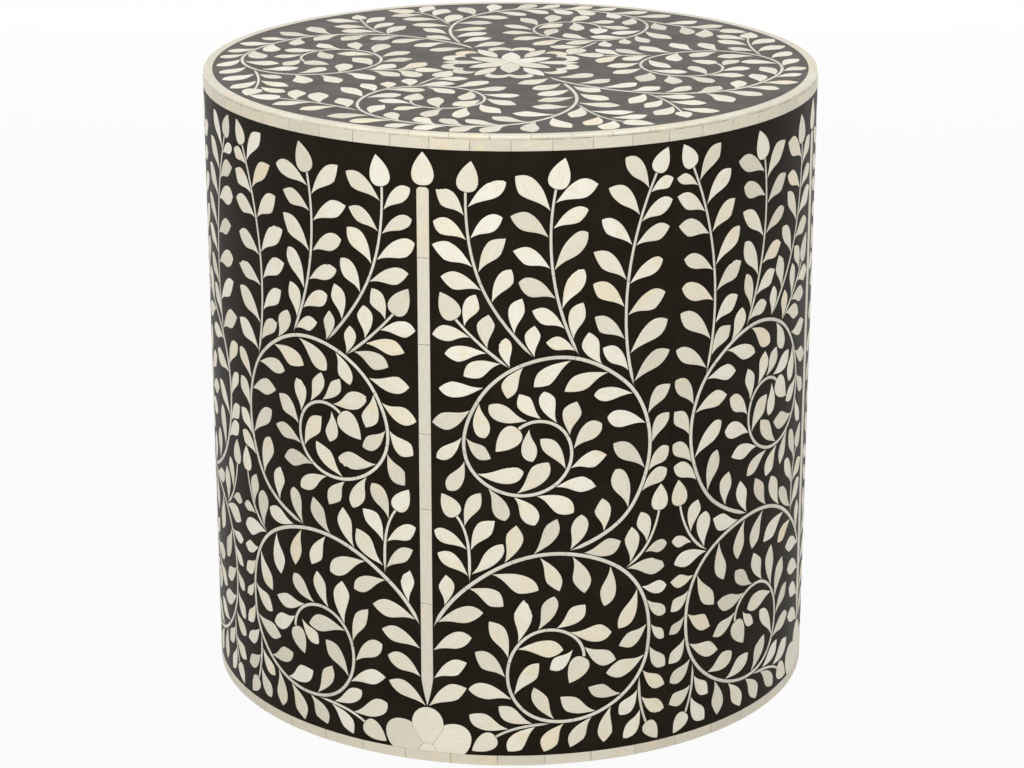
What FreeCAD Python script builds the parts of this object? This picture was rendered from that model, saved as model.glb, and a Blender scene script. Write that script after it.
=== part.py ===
import FreeCAD, Part
import math
import os
import random

os.makedirs("parts", exist_ok=True)
Vector = FreeCAD.Vector
FlatPoint = FreeCAD.Base.Vector2d

# Overall sizes of the drum, in millimetres
DIAMETER = 450.0
HEIGHT = 460.0
SKIN = 2.5                # thickness of the inlay layer of bone and resin
WALL_BONE = 1.2           # bone on the wall, set on a smooth bed of resin

# Wooden drum under the inlay
WALL_THICKNESS = 18.0
TOP_THICKNESS = 18.0
BASE_THICKNESS = 15.0

# Bands of bone segments at the rim and at the foot
RIM_BAND_HEIGHT = 8.0     # upright band under the top ring
RING_WIDTH = 7.0          # flat ring round the table top
RING_ROUND = 1.4          # softened outer corner of the ring
BASE_BAND_HEIGHT = 7.5
RIM_SEGMENT = 27.5        # about the length of one rim segment
BASE_SEGMENT = 34.0
SEGMENT_GAP = 0.2         # joint between two segments

# Inlay on the wall and the top
STRIP_WIDTH = 8.6         # upright strip that parts two mirrored scrolls
VINE_WIDTH = 2.75         # curled stems of the wall, at their root
BRANCH_WIDTH = 2.2
TOP_VINE_WIDTH = 2.5      # the stems of the top are finer
TOP_BRANCH_WIDTH = 1.95
STEM_TAPER = 0.2          # share of its width that a stem loses on the way to its bud
STEM_ROOT = 10.0          # pointed stretch where a stem leaves another one
VINE_PIECE = 38.0         # about the length of one piece of a curled stem
BRANCH_PIECE = 62.0       # and of a nearly straight one
STEM_GAP = 0.25           # resin line between two pieces of a stem
PETAL_GAP = 0.2           # and between the petals of a flower
LEAF_LENGTH = 28.0        # a usual leaf, longer ones are slimmer
WALL_FULLNESS = 0.9       # leaves of the wall are slimmer than those of the top
TOP_FULLNESS = 1.0
CHIPPED_SHARE = 0.05      # leaves whose edge broke under the saw
CHIP_COUNT = 9            # small steps along a broken edge

RADIUS = DIAMETER / 2
CORE_RADIUS = RADIUS - SKIN
BED_RADIUS = RADIUS - WALL_BONE
RIM_TOP = HEIGHT - SKIN
RIM_FOOT = RIM_TOP - RIM_BAND_HEIGHT
HALF_ARC = math.pi * RADIUS / 4
RING_RADIUS = RADIUS - RING_WIDTH

# The points below are drawn for a wall of 450 across, from 0.8 at its foot to 456.5 at the table top
DRAWN_FOOT = 0.8
ACROSS = DIAMETER / 450.0
UPWARD = HEIGHT / (456.5 - DRAWN_FOOT)
EVEN = min(ACROSS, UPWARD)

# The four strips and their bearings round the drum, the front towards -Y
SIDES = {"front": 270.0, "right": 360.0, "back": 90.0, "left": 180.0}


def between(first, second, share):
    """The point that lies a share of the way from one point to another."""
    return (first[0] + (second[0] - first[0]) * share, first[1] + (second[1] - first[1]) * share)


def on_curve(poles, share):
    """A point on a Bezier curve."""
    while len(poles) > 1:
        poles = [between(a, b, share) for a, b in zip(poles, poles[1:])]
    return poles[0]


def traced(outline, spacing=1.5):
    """Points along a closed outline of lines and curves."""
    points = []
    for poles in outline:
        length = sum(math.dist(a, b) for a, b in zip(poles, poles[1:]))
        steps = max(2, math.ceil(length / spacing))
        points += [on_curve(poles, i / steps) for i in range(steps)]
    return points


def placed(outline, origin, angle, scale, flip=1.0):
    """An outline scaled, flipped about its own axis, turned and moved to its place."""
    cosine = math.cos(angle) * scale
    sine = math.sin(angle) * scale

    def move(point):
        x, y = point[0], point[1] * flip
        return (origin[0] + x * cosine - y * sine, origin[1] + x * sine + y * cosine)

    return [[move(p) for p in poles] for poles in outline]


def mirrored(outline):
    """An outline on the other side of the upright axis."""
    return [[(-x, y) for x, y in poles] for poles in outline]


def anticlockwise(outline):
    """The outline run anticlockwise as seen from outside."""
    points = traced(outline, 4.0)
    following = points[1:] + points[:1]
    area = sum(a[0] * b[1] - a[1] * b[0] for a, b in zip(points, following))
    if area > 0:
        return outline
    return [list(reversed(poles)) for poles in reversed(outline)]


def off_line(point, first, second):
    """Distance from a point to the straight line between two others."""
    run = (second[0] - first[0], second[1] - first[1])
    square = run[0] ** 2 + run[1] ** 2
    if square == 0:
        return math.dist(point, first)
    share = ((point[0] - first[0]) * run[0] + (point[1] - first[1]) * run[1]) / square
    return math.dist(point, between(first, second, max(0.0, min(1.0, share))))


class Field:
    """Pieces already laid on one flat map, kept as short lines along their outlines."""

    CELL = 4.0

    def __init__(self):
        self.cells = {}

    def cell(self, point):
        return math.floor(point[0] / self.CELL), math.floor(point[1] / self.CELL)

    def add(self, outline, kind):
        points = traced(outline)
        for first, second in zip(points, points[1:] + points[:1]):
            key = self.cell(between(first, second, 0.5))
            self.cells.setdefault(key, []).append((first, second, kind))

    def clear(self, outline, gaps):
        """True when every earlier piece stays as far off as the gap for its kind."""
        for point in traced(outline, 0.7):
            column, row = self.cell(point)
            for i in (column - 1, column, column + 1):
                for j in (row - 1, row, row + 1):
                    for first, second, kind in self.cells.get((i, j), ()):
                        if off_line(point, first, second) < gaps[kind]:
                            return False
        return True


class Vine:
    """A stem that runs through a few points and is cut from flat strips."""

    def __init__(self, points, width):
        curve = Part.BSplineCurve()
        curve.interpolate([Vector(x, y, 0) for x, y in points])
        self.edge = curve.toShape()
        self.length = self.edge.Length
        self.width = width

    def at(self, distance):
        """The point and the heading at a distance along the stem."""
        place = self.edge.getParameterByLength(distance)
        point = self.edge.valueAt(place)
        along = self.edge.tangentAt(place)
        return (point.x, point.y), math.atan2(along.y, along.x)

    def half_width(self, distance):
        """Half the width of the stem, which thins towards its bud."""
        return self.width / 2 * (1 - STEM_TAPER * distance / self.length)

    def side(self, start, end, first_offset, last_offset):
        """One curved edge of a stretch of the stem."""
        (first, heading), (last, arrival) = self.at(start), self.at(end)
        turn = math.remainder(arrival - heading, 2 * math.pi)
        a = placed([[(0, first_offset)]], first, heading, 1.0)[0][0]
        b = placed([[(0, last_offset)]], last, arrival, 1.0)[0][0]
        reach = math.dist(a, b) / (3 * math.cos(turn / 4) ** 2)
        leave = (a[0] + reach * math.cos(heading), a[1] + reach * math.sin(heading))
        meet = (b[0] - reach * math.cos(arrival), b[1] - reach * math.sin(arrival))
        return [a, leave, meet, b]

    def strip(self, start, end, pointed=False):
        """Outline of one piece with straight ends, or with its first end drawn to a point."""
        stops = [start, end]
        halves = [self.half_width(start), self.half_width(end)]
        if pointed:
            root = min(start + STEM_ROOT, (start + end) / 2)
            stops.insert(1, root)
            halves = [0.0, self.half_width(root), halves[1]]
        runs = list(zip(stops, stops[1:], halves, halves[1:]))
        right = [self.side(a, b, -c, -d) for a, b, c, d in runs]
        left = [list(reversed(self.side(*run))) for run in reversed(runs)]
        outline = right + [[right[-1][-1], left[0][0]]] + left
        if not pointed:
            outline.append([left[-1][-1], right[0][0]])
        return outline


def leaf_shape(front, back, tip, shoulder, blunt):
    """Leaf of unit length: a full front edge, a tip, and a shoulder sawn into the back edge."""
    rise = [(0, 0), (0.19, front * 0.4), (0.38, front), (0.65, front)]
    near_tip = (0.91 + 0.06 * blunt, front * (0.5 + 0.16 * blunt) + tip)
    fall = [(0.65, front), (0.8 + 0.07 * blunt, front), near_tip, (1, tip)]
    bulge = 0.025 + 0.07 * blunt
    cut = [(1, tip), ((1 + shoulder + bulge) / 2, (tip - back) / 2 - bulge), (shoulder, -back)]
    hollow = [(shoulder, -back), (shoulder - 0.24, -back * 1.02), (0.34, back * 0.05), (0, 0)]
    return [rise, fall, cut, hollow]


def chipped(shape, hand):
    """A leaf of unit length with small broken steps along its full edge."""
    rise, fall, cut, hollow = shape
    points = [fall[0]]
    for i in range(1, CHIP_COUNT):
        x, y = on_curve(fall, i / CHIP_COUNT)
        points.append((x + hand.uniform(-0.01, 0.01), y - hand.uniform(0.0, 0.035)))
    points.append(fall[-1])
    return [rise] + [[a, b] for a, b in zip(points, points[1:])] + [cut, hollow]


BUD_SHAPE = [[(0, 0), (-0.02, -0.4), (0.46, -0.5), (1, 0)], [(1, 0), (0.46, 0.5), (-0.02, 0.4), (0, 0)]]


def bud(base, tip):
    """Bud with a round foot and a pointed tip."""
    heading = math.atan2(tip[1] - base[1], tip[0] - base[0])
    return placed(BUD_SHAPE, base, heading, math.dist(base, tip))


class Inlay:
    """Stems, leaves and buds laid on one flat map without touching."""

    GAPS = {"strip": 0.4, "stem": 0.3, "leaf": 1.2, "bud": 0.9}
    STEM_GAPS = {"strip": 0.4, "stem": 0.4, "leaf": 0.9, "bud": 0.9}
    TIP_GAPS = {"strip": 0.0, "stem": 0.0, "leaf": 0.0, "bud": 0.2}
    TRIALS = [(share, push, turn) for share in (1.0, 0.94, 0.88, 0.82, 0.76, 0.7)
              for push in (-1.6, -1.2, -0.8, -0.4, 0.0, 0.4, 0.8, 1.2, 1.6, 2.4, 3.2)
              for turn in (0, -6, 6, -12, 12)]

    def __init__(self, seed, inside, fullness):
        self.hand = random.Random(seed)
        self.fullness = fullness
        self.inside = inside
        self.field = Field()
        self.stems = []
        self.leaves = []
        self.buds = []

    def stem(self, points, width, piece, tip):
        """A stem cut into pieces, and the bud at its end."""
        vine = Vine(points, width)
        tip = (tip[0] + self.hand.uniform(-0.8, 0.8), tip[1] + self.hand.uniform(-0.5, 0.5))
        self.buds.append(bud(points[-1], tip))
        self.field.add(self.buds[-1], "bud")
        start, end = 0.0, vine.length
        while not self.field.clear(vine.strip(start, start + 2 * STEM_ROOT, True), self.STEM_GAPS):
            start += 0.4
        while not self.field.clear(vine.strip(end - 4.0, end), self.TIP_GAPS):
            end -= 0.2
        count = max(1, round((end - start) / piece))
        step = (end - start + STEM_GAP) / count
        for i in range(count):
            strip = vine.strip(start + i * step, start + (i + 1) * step - STEM_GAP, i == 0)
            self.stems.append(strip)
            self.field.add(strip, "stem")

    def leaf(self, foot, tip, side):
        """One leaf, a little shorter or turned where its neighbours leave less room."""
        length = math.dist(foot, tip) * self.hand.uniform(0.97, 1.03)
        full = self.fullness * min(1.15, (LEAF_LENGTH * EVEN / length) ** 0.7)
        front = full * self.hand.uniform(0.25, 0.31)
        back = full * self.hand.uniform(0.14, 0.22)
        tip_lift = self.hand.uniform(-0.04, 0.05)
        shape = leaf_shape(front, back, tip_lift, self.hand.uniform(0.62, 0.73), self.hand.random() ** 2)
        if self.hand.random() < CHIPPED_SHARE:
            shape = chipped(shape, self.hand)
        heading = math.atan2(tip[1] - foot[1], tip[0] - foot[0]) + self.hand.uniform(-0.04, 0.04)
        for share, push, turn in self.TRIALS:
            start = between(foot, tip, push / length)
            outline = placed(shape, start, heading + math.radians(turn), length * share - push, -side)
            if self.inside(traced(outline, 3.0)) and self.field.clear(outline, self.GAPS):
                self.leaves.append(outline)
                self.field.add(outline, "leaf")
                return


def scaled(points):
    """Wall points fitted to the drum."""
    return [(x * ACROSS, (y - DRAWN_FOOT) * UPWARD) for x, y in points]


# Half of a wall panel: millimetres to the right of the strip and above the floor
LOWER_SCROLL = [(5, 104), (17, 123), (40, 143.5), (64, 156), (88.5, 160.4), (116, 156), (141, 143),
                (157, 120), (161, 93.5), (156, 67), (141, 49), (116, 36), (90, 34), (70, 42), (59, 60),
                (59, 81), (71.5, 99), (93, 103), (109, 92), (112, 81)]
UPPER_SCROLL = [(101, 162), (125, 172), (144, 187), (155.4, 209), (160, 232), (157, 254), (147, 274.6),
                (127, 291.5), (104, 301.5), (79, 301), (56, 291.5), (39, 274.6), (30, 255), (28, 234),
                (36, 218), (53, 206.5), (74.6, 204.5), (94, 214), (102, 233), (94.6, 251.5), (78.5, 257),
                (65, 252)]
WALL_BRANCHES = [
    ([(31, 139), (31, 155), (28, 176.5), (22, 188)], (11.5, 204)),
    ([(142, 145), (153, 153), (163.5, 169), (168, 184)], (169, 203)),
    ([(155, 65), (154, 52), (155.4, 39.6), (160, 24)], (170, 10.5)),
    ([(95, 32.5), (82, 32), (66, 29.8), (49, 22.7)], (31.5, 11.5)),
    ([(60, 295), (43, 308.5), (22, 329.5)], (11, 348.5)),
    ([(75.5, 303), (56, 326), (40, 353), (32, 381.5), (29.4, 418)], (33.4, 439)),
    ([(107, 303), (96, 329), (89, 358.5), (87, 391), (90.3, 420)], (97, 440.5)),
    ([(147.4, 276), (141.5, 306), (141, 346), (147, 383), (162, 426)], (170, 443)),
]
# Leaves of the half panel as foot and tip, first those on the left of their stem as it grows
LEFT_LEAVES = [
    (28, 402, 8.5, 419), (30.5, 384.5, 7.5, 397), (33.5, 366.5, 6.5, 380), (39, 350.5, 11.5, 359),
    (31.5, 317, 6, 319), (43, 306, 14.5, 302.5), (52, 298.5, 27, 291),
    (85.5, 406, 62.5, 428), (85, 387, 59, 402.5), (87, 365, 61.5, 378), (89.5, 344.5, 65, 354),
    (97, 322.5, 73.5, 336), (103.5, 307, 84.5, 316),
    (156, 416, 138, 439), (149, 398.5, 128, 419.5), (144.5, 377.5, 121.5, 396), (140, 354, 116.5, 375.5),
    (138, 335.5, 114.5, 351), (139.5, 312, 118, 329), (142, 290, 125.5, 308.5),
    (102, 164.5, 108.5, 189), (125.5, 174.5, 124, 199), (143, 191, 134, 218), (156, 217, 131.5, 238.5),
    (155.5, 250, 127, 257), (146, 272.5, 117, 273), (127.5, 289.5, 97, 279), (100, 299, 77.5, 281),
    (67.5, 294.5, 57.5, 273.5), (38.5, 268.5, 44, 245.5), (30.5, 244, 47, 231), (37.5, 219.5, 68.5, 221),
    (65, 206.5, 86.5, 228), (97, 223.5, 80.5, 245.5), (72.5, 250.5, 70, 229),
    (13, 121, 13, 144), (33.5, 146.5, 54.5, 168), (55.5, 154.5, 66, 182), (76.5, 161.5, 91, 186),
    (29.5, 163.5, 6.5, 175.5), (30, 144, 8.5, 159.5), (113, 160, 138, 163),
    (145.5, 149, 143, 175), (158.5, 161, 152.5, 185),
    (154.5, 129, 175, 126.5), (159, 118.5, 174.5, 105.5), (163.5, 98.5, 174.5, 87), (163, 81, 174.5, 65),
    (158, 64, 174.5, 51.5), (157, 44, 174.5, 32.5),
    (132, 39.5, 128.5, 13.5), (117, 33.5, 103.5, 11.5), (97, 31, 83, 11.5), (77, 30, 57.5, 11.5),
    (61, 51.5, 30.5, 59.5), (56.5, 68, 33.5, 85.5), (58, 83, 45.5, 111), (65, 96.5, 67, 126.5),
    (79, 104, 90, 129), (92.5, 105, 112.5, 121), (102.5, 101, 131.5, 99.5), (112.5, 89, 135.5, 77),
]
RIGHT_LEAVES = [
    (2.5, 44, 29, 58.5), (5, 65, 28.5, 78.5), (5, 86.5, 33, 98), (8.5, 108, 40.5, 115.5),
    (31.5, 408, 56.5, 424.5), (33, 386.5, 55, 401), (38.5, 363.5, 57, 387), (47.5, 342.5, 62, 364.5),
    (62.5, 321, 67, 345.5), (76, 305, 74, 325),
    (28.5, 325.5, 37.5, 346), (44, 309.5, 44.5, 333.5), (59, 298, 56, 317.5),
    (91.5, 411, 119.5, 423.5), (89, 393, 113.5, 403.5), (90.5, 365, 114, 387), (95.5, 337.5, 111, 364),
    (103, 316, 109, 340), (122.5, 297, 111, 317.5),
    (158.5, 413, 175, 420), (152.5, 394, 174.5, 406), (148.5, 377.5, 173.5, 386), (143.5, 351, 169, 363),
    (142.5, 329, 170.5, 339.5), (144, 301.5, 171.5, 322), (148, 281.5, 174.5, 298),
    (158.5, 257, 174.5, 276), (161.5, 235, 174.5, 254.5), (159.5, 215, 174.5, 231), (155.5, 201, 175, 210.5),
    (39.5, 281.5, 11, 280.5), (30.5, 264.5, 6.5, 254), (26, 245.5, 8.5, 229.5), (28, 228.5, 15.5, 207),
    (44.5, 208.5, 55.5, 185), (63, 201.5, 76, 182.5), (77.5, 203.5, 103, 190), (91, 209.5, 120, 208.5),
    (101.5, 222.5, 128, 230), (104.5, 237.5, 123, 254), (101, 248.5, 104, 271), (91, 257.5, 82.5, 279),
    (79.5, 260.5, 65, 277), (69.5, 258.5, 44.5, 269),
    (32, 134, 55.5, 123.5), (47.5, 145.5, 77.5, 132), (80.5, 157.5, 93, 132.5), (103.5, 157, 111, 129.5),
    (130.5, 146, 125.5, 118), (151, 127, 137, 100.5), (158.5, 99.5, 138, 86), (156.5, 76.5, 129, 66.5),
    (139, 50.5, 115, 59.5), (120.5, 39.5, 94.5, 52), (90, 36.5, 76, 60), (63, 56, 81, 79),
    (65.5, 89.5, 97, 88), (104.5, 88.5, 91, 71),
    (32.5, 164, 47.5, 185.5), (27.5, 180.5, 39, 205.5), (145, 144, 172.5, 140), (159, 154.5, 175, 157.5),
    (153, 51.5, 138, 34), (155, 35, 142.5, 14.5), (57.5, 29, 31.5, 40.5), (74, 33.5, 50.5, 46.5),
]
LOWER_BUD_TIP = (102, 62)
UPPER_BUD_TIP = (49, 236)
STRIP_TIP = 43.0
STRIP_JOINTS = [64.0, 121.0, 191.0, 246.0, 310.0, 371.0, 420.0]
FINIAL_FOOT = 421.0
FINIAL_TIP = 444.0


def wall_inside(points):
    """True for a piece that keeps off the bands and off the middle of the panel."""
    for x, y in points:
        if not 1.0 <= x <= HALF_ARC - 1.0:
            return False
        if not BASE_BAND_HEIGHT + 1.0 <= y <= RIM_FOOT - 1.2:
            return False
    return True


def strip_pieces():
    """The upright strip, rounded at its head and drawn to a point at its foot."""
    half = STRIP_WIDTH / 2
    tip, *levels = [z for _, z in scaled([(0, z) for z in [STRIP_TIP] + STRIP_JOINTS])]
    pieces = []
    for i, (low, high) in enumerate(zip(levels, levels[1:])):
        top = high - STEM_GAP
        right = [(half, low), (half, top)]
        left = [(-half, top), (-half, low)]
        head = [[right[1], left[0]]]
        foot = [[left[1], right[0]]]
        if i == 0:
            narrow = half * 0.75
            foot = [[left[1], (-narrow, low - 9), (-1.4, tip + 6), (0, tip)],
                    [(0, tip), (1.4, tip + 6), (narrow, low - 9), right[0]]]
        if i == len(levels) - 2:
            bend = half * 0.6
            right = [(half, low), (half, top - bend)]
            left = [(-half, top - bend), (-half, low)]
            head = [[right[1], (half, top - bend * 0.3), (half - bend * 0.7, top), (half - bend, top)],
                    [(half - bend, top), (bend - half, top)],
                    [(bend - half, top), (bend * 0.7 - half, top), (-half, top - bend * 0.3), left[0]]]
        pieces.append([right] + head + [left] + foot)
    return pieces


def flower_pieces():
    """Half flower on the foot band: an upright petal, two side petals and a small half disc."""
    foot = BASE_BAND_HEIGHT + PETAL_GAP
    half_gap = PETAL_GAP / 2
    disc = [[(6.3, foot), (6.3, foot + 3.48), (3.48, foot + 6.3), (0, foot + 6.3)],
            [(0, foot + 6.3), (-3.48, foot + 6.3), (-6.3, foot + 3.48), (-6.3, foot)],
            [(-6.3, foot), (6.3, foot)]]
    seam = [(3.45, foot + 5.55), (6.9, 19.5), (11.8, 23.2), (11.8, 28.6)]
    inner = [(x - half_gap, y) for x, y in seam]
    outer = [(x + half_gap, y) for x, y in seam]
    crown = [inner[3], (inner[3][0], 36.6), (6.3, 41.8), (0, 41.8)]
    upright = [inner, crown] + mirrored([list(reversed(crown)), list(reversed(inner))])
    upright.append([(-inner[0][0], inner[0][1]), (-1.29, foot + 6.81), (1.29, foot + 6.81), inner[0]])
    side = [[(6.5, foot), (26.4, foot)],
            [(26.4, foot), (30, foot + 2.6), (31.8, 15.6), (31.8, 19.7)],
            [(31.8, 19.7), (31.8, 26), (26.6, 30.6), (20.2, 30.6)],
            [(20.2, 30.6), (17, 30.6), (13.9, 30), outer[3]],
            list(reversed(outer)),
            [outer[0], (5.39, foot + 4.25), (6.5, foot + 2.2), (6.5, foot)]]
    return [disc, upright, side, mirrored(side)]


def finial():
    """Bud that stands on the head of the strip."""
    return bud(*scaled([(0, FINIAL_FOOT), (0, FINIAL_TIP)]))


def wall_half(seed):
    """Scrolls, leaves and buds to the right of one strip."""
    inlay = Inlay(seed, wall_inside, WALL_FULLNESS)
    for piece in strip_pieces() + flower_pieces() + [finial()]:
        inlay.field.add(piece, "strip")
    for points, tip in ((LOWER_SCROLL, LOWER_BUD_TIP), (UPPER_SCROLL, UPPER_BUD_TIP)):
        inlay.stem(scaled(points), VINE_WIDTH, VINE_PIECE, scaled([tip])[0])
    for points, tip in WALL_BRANCHES:
        inlay.stem(scaled(points), BRANCH_WIDTH, BRANCH_PIECE, scaled([tip])[0])
    for side, leaves in ((1, LEFT_LEAVES), (-1, RIGHT_LEAVES)):
        for foot_x, foot_y, tip_x, tip_y in leaves:
            foot, tip = scaled([(foot_x, foot_y), (tip_x, tip_y)])
            inlay.leaf(foot, tip, side)
    return inlay


# Half of the table top, in plan: the other half is the same turned half round
TOP_RIGHT_SCROLL = [(39, -39), (53, -52), (70, -60.5), (105, -70.5), (145, -65.5), (175, -44.5),
                    (192, -10.5), (197, 26.5), (186, 58.5), (163, 77.5), (138, 80.5), (112, 67.5),
                    (97, 47.5), (93, 22.5), (106, -2.5), (132, -11.5), (152, 4.5), (153, 26.5), (146, 38)]
TOP_FRONT_SCROLL = [(53, -55), (65, -75.5), (75, -101.5), (78, -130.5), (72, -160.5), (58, -184),
                    (35, -199), (0, -204), (-30, -198.5), (-55, -182), (-68, -158.5), (-69, -130.5),
                    (-60, -105.5), (-40, -92.5), (-8, -94.5), (9, -110.5), (14, -133), (-2, -154),
                    (-24, -154.5), (-35, -137.5)]
TOP_BRANCHES = [
    ([(174, 73), (163, 94.5), (154, 122.5), (152, 133)], (150, 154)),
    ([(115, -71.5), (133, -87.5), (148, -110.5), (154, -122)], (162, -138)),
    ([(78.5, -118), (88, -131.5), (101, -148.5), (112, -157), (122, -161)], (144, -163)),
    ([(-57, -180), (-90, -165), (-114, -158.5), (-126, -156.5)], (-148, -153.5)),
    ([(98, 50.5), (86, 50), (74, 46), (60.5, 41.5)], (40, 40.5)),
    ([(-45, -92.5), (-42, -78), (-37.5, -61)], (-35, -38.5)),
]
# Leaves of the half top as foot and tip, first those on the left of their stem as it grows
TOP_LEFT_LEAVES = [
    (47, -38.5, 68, -22.5), (66, -53.5, 84, -35.5), (85, -61.5, 104, -42.5), (107, -66.5, 124, -49.5),
    (131, -64.5, 144, -41.5), (152, -60.5, 163, -35.5), (176, -43.5, 172, -15.5), (188, -13.5, 180, 10.5),
    (194, 12.5, 179, 34.5), (188, 48.5, 163, 47.5), (167, 69.5, 144, 57.5), (138, 74.5, 125, 53.5),
    (112, 64.5, 117, 36.5), (97, 35.5, 117, 14.5), (106, 2.5, 132, 3.5), (147, -0.5, 129, 22.5),
    (126, -78.5, 154, -74.5), (140, -93.5, 166, -90.5), (153, -111.5, 179, -111.5),
    (166, 86.5, 144, 92.5), (155, 107.5, 131, 117.5), (150, 126.5, 127, 137.5),
    (92, 48.5, 80, 28.5), (72, 42.5, 62, 16.5), (95, -136.5, 122, -132.5), (113, -151.5, 136, -142.5),
    (-79, -170.5, -102, -185.5), (-101, -163.5, -124, -176.5), (-50, -92.5, -57, -72.5),
    (-41, -77.5, -49, -56.5), (65, -65.5, 87, -75.5), (75, -87.5, 97, -99.5), (81, -114.5, 109, -113.5),
    (74, -164.5, 92, -188.5), (65, -178.5, 69, -207.5), (49, -193.5, 42, -218.5), (30, -203.5, 18, -221.5),
    (8, -207.5, -8, -222.5), (-13, -208.5, -29, -219.5), (-32, -200.5, -57, -210.5),
    (-51, -190.5, -77, -201.5), (-72, -169.5, -85, -145.5), (-71, -136.5, -96, -113.5),
    (-67, -119.5, -84, -96.5), (-62, -107.5, -68, -86.5), (-17, -88.5, -2, -64.5), (-3, -93.5, 19, -80.5),
    (8, -106.5, 34, -102.5), (15, -119.5, 40, -130.5), (15, -137.5, 34, -160.5), (9, -150.5, 13, -179.5),
    (-6, -156.5, -12, -183.5), (-20, -156.5, -39, -168.5), (-31, -148.5, -57, -143.5),
]
TOP_RIGHT_LEAVES = [
    (89, -65.5, 105, -87.5), (160, -63.5, 182, -83.5), (171, -52.5, 199, -57.5), (184, -35.5, 206, -34.5),
    (191, -18.5, 215, -9.5), (196, 2.5, 214, 18.5), (198, 24.5, 212, 40.5), (195, 42.5, 202, 69.5),
    (181, 64.5, 193, 91.5), (139, 82.5, 123, 106.5), (120, 79.5, 99, 98.5), (105, 66.5, 79, 81.5),
    (91, 23.5, 72, 6.5), (97, 6.5, 81, -16.5), (106, -7.5, 105, -37.5), (121, -14.5, 131, -38.5),
    (136, -12.5, 157, -26.5), (151, -3.5, 174, 2.5), (155, 12.5, 173, 28.5), (153, 32.5, 160, 53.5),
    (117, -75.5, 113, -106.5), (133, -89.5, 126, -116.5), (145, -104.5, 142, -136.5),
    (169, 88.5, 184, 111.5), (160, 110.5, 173, 134.5), (88, 55.5, 65, 67.5), (73, 47.5, 51, 64.5),
    (84, -128.5, 87, -159.5), (102, -151.5, 100, -178.5), (115, -161.5, 119, -186.5),
    (-93, -163.5, -104, -132.5), (-113, -157.5, -121, -127.5), (-40, -90.5, -20, -78.5),
    (-36, -68.5, -15, -59.5), (39, -45.5, 23, -68.5), (52, -60.5, 38, -82.5), (63, -76.5, 46, -98.5),
    (71, -98.5, 49, -115.5), (75, -127.5, 50, -134.5), (72, -153.5, 43, -157.5), (60, -179.5, 33, -171.5),
    (44, -193.5, 17, -183.5), (21, -201.5, 1, -184.5), (0, -201.5, -19, -188.5), (-26, -197.5, -38, -177.5),
    (-50, -182.5, -50, -157.5), (-66, -137.5, -47, -123.5), (-60, -110.5, -34, -106.5),
    (-34, -97.5, -12, -111.5), (-3, -98.5, -2, -127.5), (10, -125.5, -4, -145.5), (-10, -153.5, -19, -124.5),
]
RIGHT_BUD_TIP = (127, 43)
FRONT_BUD_TIP = (-37, -116.5)
TOP_DEPTH = 0.976         # the drawing of the top is a little flatter from front to back
ROSETTE_TURN = math.radians(104)


def top_inside(points):
    """True for a piece that keeps off the ring of the table top."""
    return all(math.hypot(x, y) < RING_RADIUS - 1.5 for x, y in points)


def polar(radius, degrees):
    """A plan point from its radius and bearing."""
    return (radius * math.cos(math.radians(degrees)), radius * math.sin(math.radians(degrees)))


def rosette():
    """Six petals, six leaves between them and a scalloped frame of twelve arcs."""
    petal = [[(0.5, 0), (10.5, -5.9)], [(10.5, -5.9), (14.5, -8.1), (26, -7.6), (34.5, 0)],
             [(34.5, 0), (26, 7.6), (14.5, 8.1), (10.5, 5.9)], [(10.5, 5.9), (0.5, 0)]]
    sepal = [[(20, 0), (29, -6.5), (40, -7.5), (50, 0)], [(50, 0), (40, 7.5), (29, 6.5), (20, 0)]]
    arch = [[polar(45.5, 0.13), polar(55.8, 4.3), polar(55.8, 19), polar(45.5, 22.9)],
            [polar(45.5, 22.9), polar(39, 21.5)],
            [polar(39, 21.5), polar(45.5, 17), polar(45.5, 6), polar(38.5, 0.15)],
            [polar(38.5, 0.15), polar(45.5, 0.13)]]
    petals, sepals, frame = [], [], []
    for i in range(6):
        turn = ROSETTE_TURN + i * math.pi / 3
        petals.append(placed(petal, (0, 0), turn, ACROSS))
        sepals.append(placed(sepal, (0, 0), turn + math.pi / 6, ACROSS))
        for flip in (1.0, -1.0):
            frame.append(placed(arch, (0, 0), turn, ACROSS, flip))
    return petals, sepals, frame


def turned(points, half):
    """Top points fitted to the drum, in their own half or turned half round."""
    sign = -1.0 if half else 1.0
    return [(sign * x * ACROSS, sign * y * ACROSS * TOP_DEPTH) for x, y in points]


def top_inlay(seed):
    """Scrolls, leaves and buds on the table top."""
    inlay = Inlay(seed, top_inside, TOP_FULLNESS)
    for group in rosette():
        for piece in group:
            inlay.field.add(piece, "strip")
    for half in (0, 1):
        for points, tip in ((TOP_RIGHT_SCROLL, RIGHT_BUD_TIP), (TOP_FRONT_SCROLL, FRONT_BUD_TIP)):
            inlay.stem(turned(points, half), TOP_VINE_WIDTH, VINE_PIECE, turned([tip], half)[0])
        for points, tip in TOP_BRANCHES:
            inlay.stem(turned(points, half), TOP_BRANCH_WIDTH, BRANCH_PIECE, turned([tip], half)[0])
    for half in (0, 1):
        for side, leaves in ((1, TOP_LEFT_LEAVES), (-1, TOP_RIGHT_LEAVES)):
            for foot_x, foot_y, tip_x, tip_y in leaves:
                foot, tip = turned([(foot_x, foot_y), (tip_x, tip_y)], half)
                inlay.leaf(foot, tip, side)
    return inlay


# Flat outlines wrapped on the wall or raised on the top
OUTER = Part.Cylinder()
OUTER.Radius = RADIUS
BED = Part.Cylinder()
BED.Radius = BED_RADIUS


def closed_solid(faces):
    """Solid from faces that close up on each other."""
    shell = Part.makeShell(faces)
    shell.sewShape()
    solid = Part.makeSolid(shell)
    if solid.Volume < 0:
        solid.reverse()
    return solid


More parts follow.
